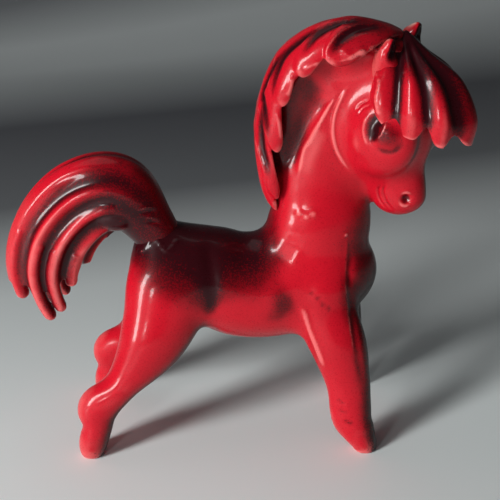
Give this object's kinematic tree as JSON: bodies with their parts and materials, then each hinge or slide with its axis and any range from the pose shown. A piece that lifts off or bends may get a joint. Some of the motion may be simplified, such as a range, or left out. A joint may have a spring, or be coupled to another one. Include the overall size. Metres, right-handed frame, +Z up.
{
  "type": "horse figurine",
  "caption": "Free-standing glazed ceramic pony with a turned head, deep grooved mane, fringed forelock and arched tail; ornament for a shelf.",
  "frame": {"origin": "middle of the bounding box in plan, on the shelf under the hooves", "axes": "+X the way the pony's body faces, +Y to its left, +Z up"},
  "size_m": [0.2184, 0.0756, 0.211],
  "materials": {
    "trunk_casting_glaze": "gloss red flambe glaze over fired earthenware, running dark where it pools",
    "head_casting_glaze": "gloss red flambe glaze over fired earthenware, running dark where it pools",
    "neck_casting_glaze": "gloss red flambe glaze over fired earthenware, running dark where it pools",
    "hind_leg_right_glaze": "gloss red flambe glaze over fired earthenware, running dark where it pools",
    "hind_leg_left_glaze": "gloss red flambe glaze over fired earthenware, running dark where it pools",
    "front_leg_right_glaze": "gloss red flambe glaze over fired earthenware, running dark where it pools",
    "front_leg_left_glaze": "gloss red flambe glaze over fired earthenware, running dark where it pools",
    "tail_glaze": "gloss red flambe glaze over fired earthenware, running dark where it pools",
    "ear_right_glaze": "gloss red flambe glaze over fired earthenware, running dark where it pools",
    "ear_left_glaze": "gloss red flambe glaze over fired earthenware, running dark where it pools",
    "mane_glaze": "gloss red flambe glaze over fired earthenware, running dark where it pools",
    "forelock_glaze": "gloss red flambe glaze over fired earthenware, running dark where it pools"
  },
  "bodies": {
    "root": {"trunk_casting": "trunk_casting_glaze", "head_casting": "head_casting_glaze", "neck_casting": "neck_casting_glaze", "hind_leg_right": "hind_leg_right_glaze", "hind_leg_left": "hind_leg_left_glaze", "front_leg_right": "front_leg_right_glaze", "front_leg_left": "front_leg_left_glaze", "tail": "tail_glaze", "ear_right": "ear_right_glaze", "ear_left": "ear_left_glaze", "mane": "mane_glaze", "forelock": "forelock_glaze"}
  },
  "joints": []
}
